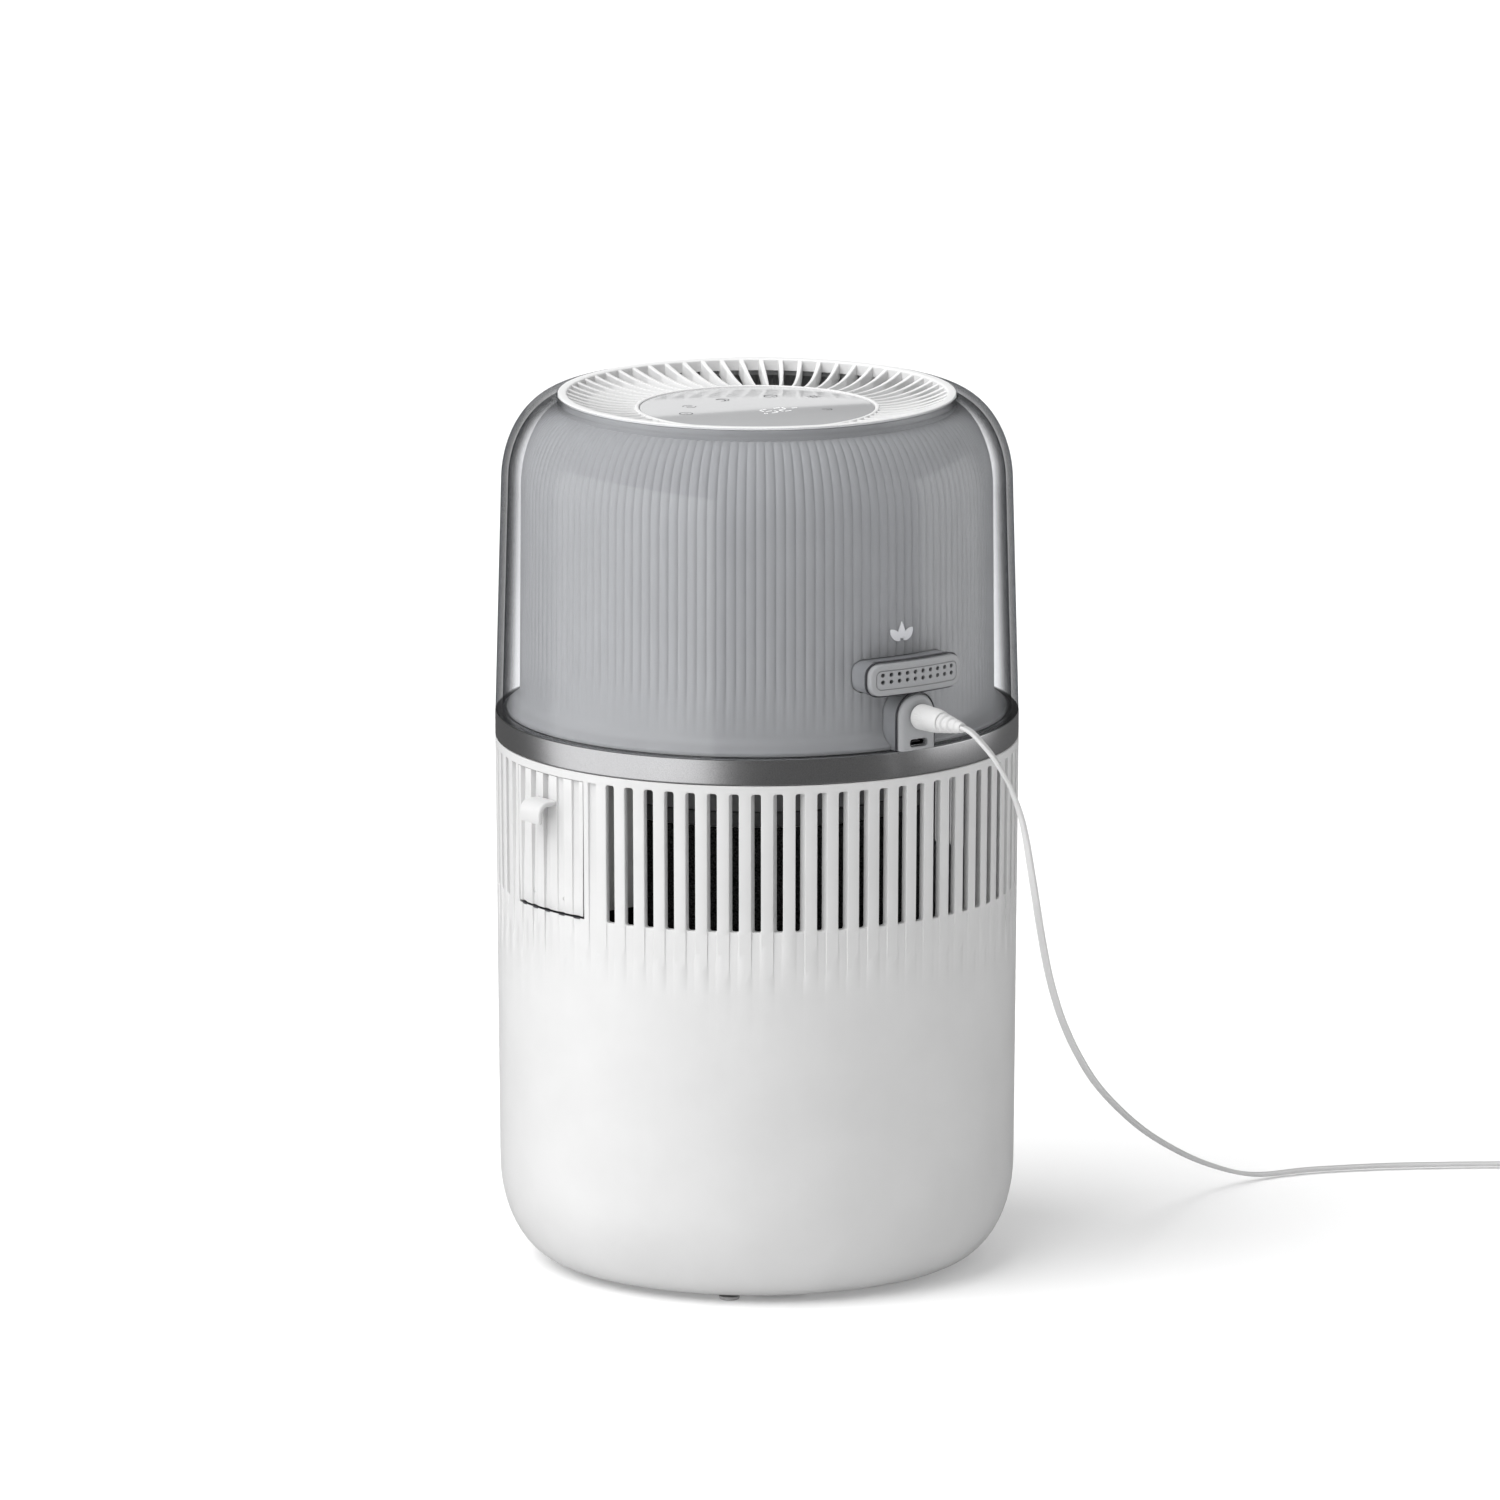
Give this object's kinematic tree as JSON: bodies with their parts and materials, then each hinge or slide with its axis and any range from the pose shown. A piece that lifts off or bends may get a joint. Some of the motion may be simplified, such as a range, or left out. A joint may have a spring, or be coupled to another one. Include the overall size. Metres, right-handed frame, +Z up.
{
  "type": "air purifier",
  "caption": "Round tower air purifier: slotted lower housing with sensor door, clear dome over a fluted barrel, swirl top outlet, aroma drawer and power lead.",
  "frame": {"origin": "on the floor, under the axis of the round body", "axes": "+Z up along the body's axis, +Y towards the back with the drawer and the power jack, +X towards the sensor door"},
  "size_m": [0.5897, 0.2793, 0.3786],
  "materials": {
    "white_shell": "satin moulded plastic",
    "white_inside": "satin moulded plastic",
    "clear_dome": "clear gloss plastic, light smoke tint",
    "barrel": "satin fluted plastic",
    "metal_ring": "fine blasted and anodised",
    "control_gloss": "gloss with printed icons",
    "grey_plastic": "satin moulded plastic",
    "dark_plastic": "matt moulded plastic",
    "filter_cap": "matt moulded plastic",
    "filter_mesh": "woven black net",
    "filter_paper": "pleated fibre",
    "felt": "pressed felt",
    "foam": "soft foam",
    "rubber": "matt",
    "steel": "bright",
    "circuit_board": "lacquered board",
    "lead_white": "soft satin sheath"
  },
  "bodies": {
    "housing": {"base_housing": "white_shell", "foot_pad_1": "rubber", "foot_pad_2": "rubber", "foot_pad_3": "rubber", "foot_pad_4": "rubber", "filter_media": "filter_paper", "filter_mesh": "filter_mesh", "filter_bottom_cap": "filter_cap", "filter_lower_band": "filter_cap", "filter_top_cap": "filter_cap", "filter_seal": "foam", "trim_ring": "metal_ring", "clear_dome": "clear_dome", "inner_barrel": "barrel", "outlet_grille": "white_shell", "control_disc": "control_gloss", "hub_cup": "white_inside", "display_board": "circuit_board", "diffuser": "white_inside", "fan_deck": "white_inside", "motor_can": "steel", "motor_screw_1": "steel", "motor_screw_2": "steel", "motor_screw_3": "steel", "main_board": "circuit_board", "jack_housing": "grey_plastic", "dc_jack": "dark_plastic", "usb_socket": "steel", "aroma_dock": "dark_plastic", "sensor_bay": "dark_plastic", "sensor_module": "dark_plastic", "door_hinge_pin": "steel", "dc_plug": "lead_white", "plug_relief": "lead_white", "plug_contact": "steel", "power_lead": "lead_white", "lead_coil": "lead_white", "coil_tie": "dark_plastic", "adapter_relief": "lead_white", "adapter_body": "lead_white", "adapter_pin_left": "steel", "adapter_pin_right": "steel"},
    "fan": {"impeller": "white_inside", "impeller_nut": "steel", "motor_shaft": "steel"},
    "door": {"sensor_door": "white_shell", "door_pull": "white_shell"},
    "drawer": {"tray_face": "grey_plastic", "aroma_tray": "white_inside", "aroma_pad": "felt"},
    "cover": {"filter_cover": "white_shell", "cover_seal": "foam"}
  },
  "joints": [
    {"name": "fan_spin", "type": "hinge", "parent": "housing", "child": "fan", "pos_m": [0, 0, 0.28], "axis": [0, 0, 1], "continuous": true},
    {"name": "door_swing", "type": "hinge", "parent": "housing", "child": "door", "pos_m": [0.109, 0, 0.1729], "axis": [0, 1, 0], "range_deg": [0, 75]},
    {"name": "drawer_slide", "type": "slide", "parent": "housing", "child": "drawer", "axis": [0, 1, 0], "range_m": [0, 0.028]},
    {"name": "cover_twist", "type": "hinge", "parent": "housing", "child": "cover", "pos_m": [0, 0, 0.002], "axis": [0, 0, 1], "range_deg": [0, 20]}
  ]
}
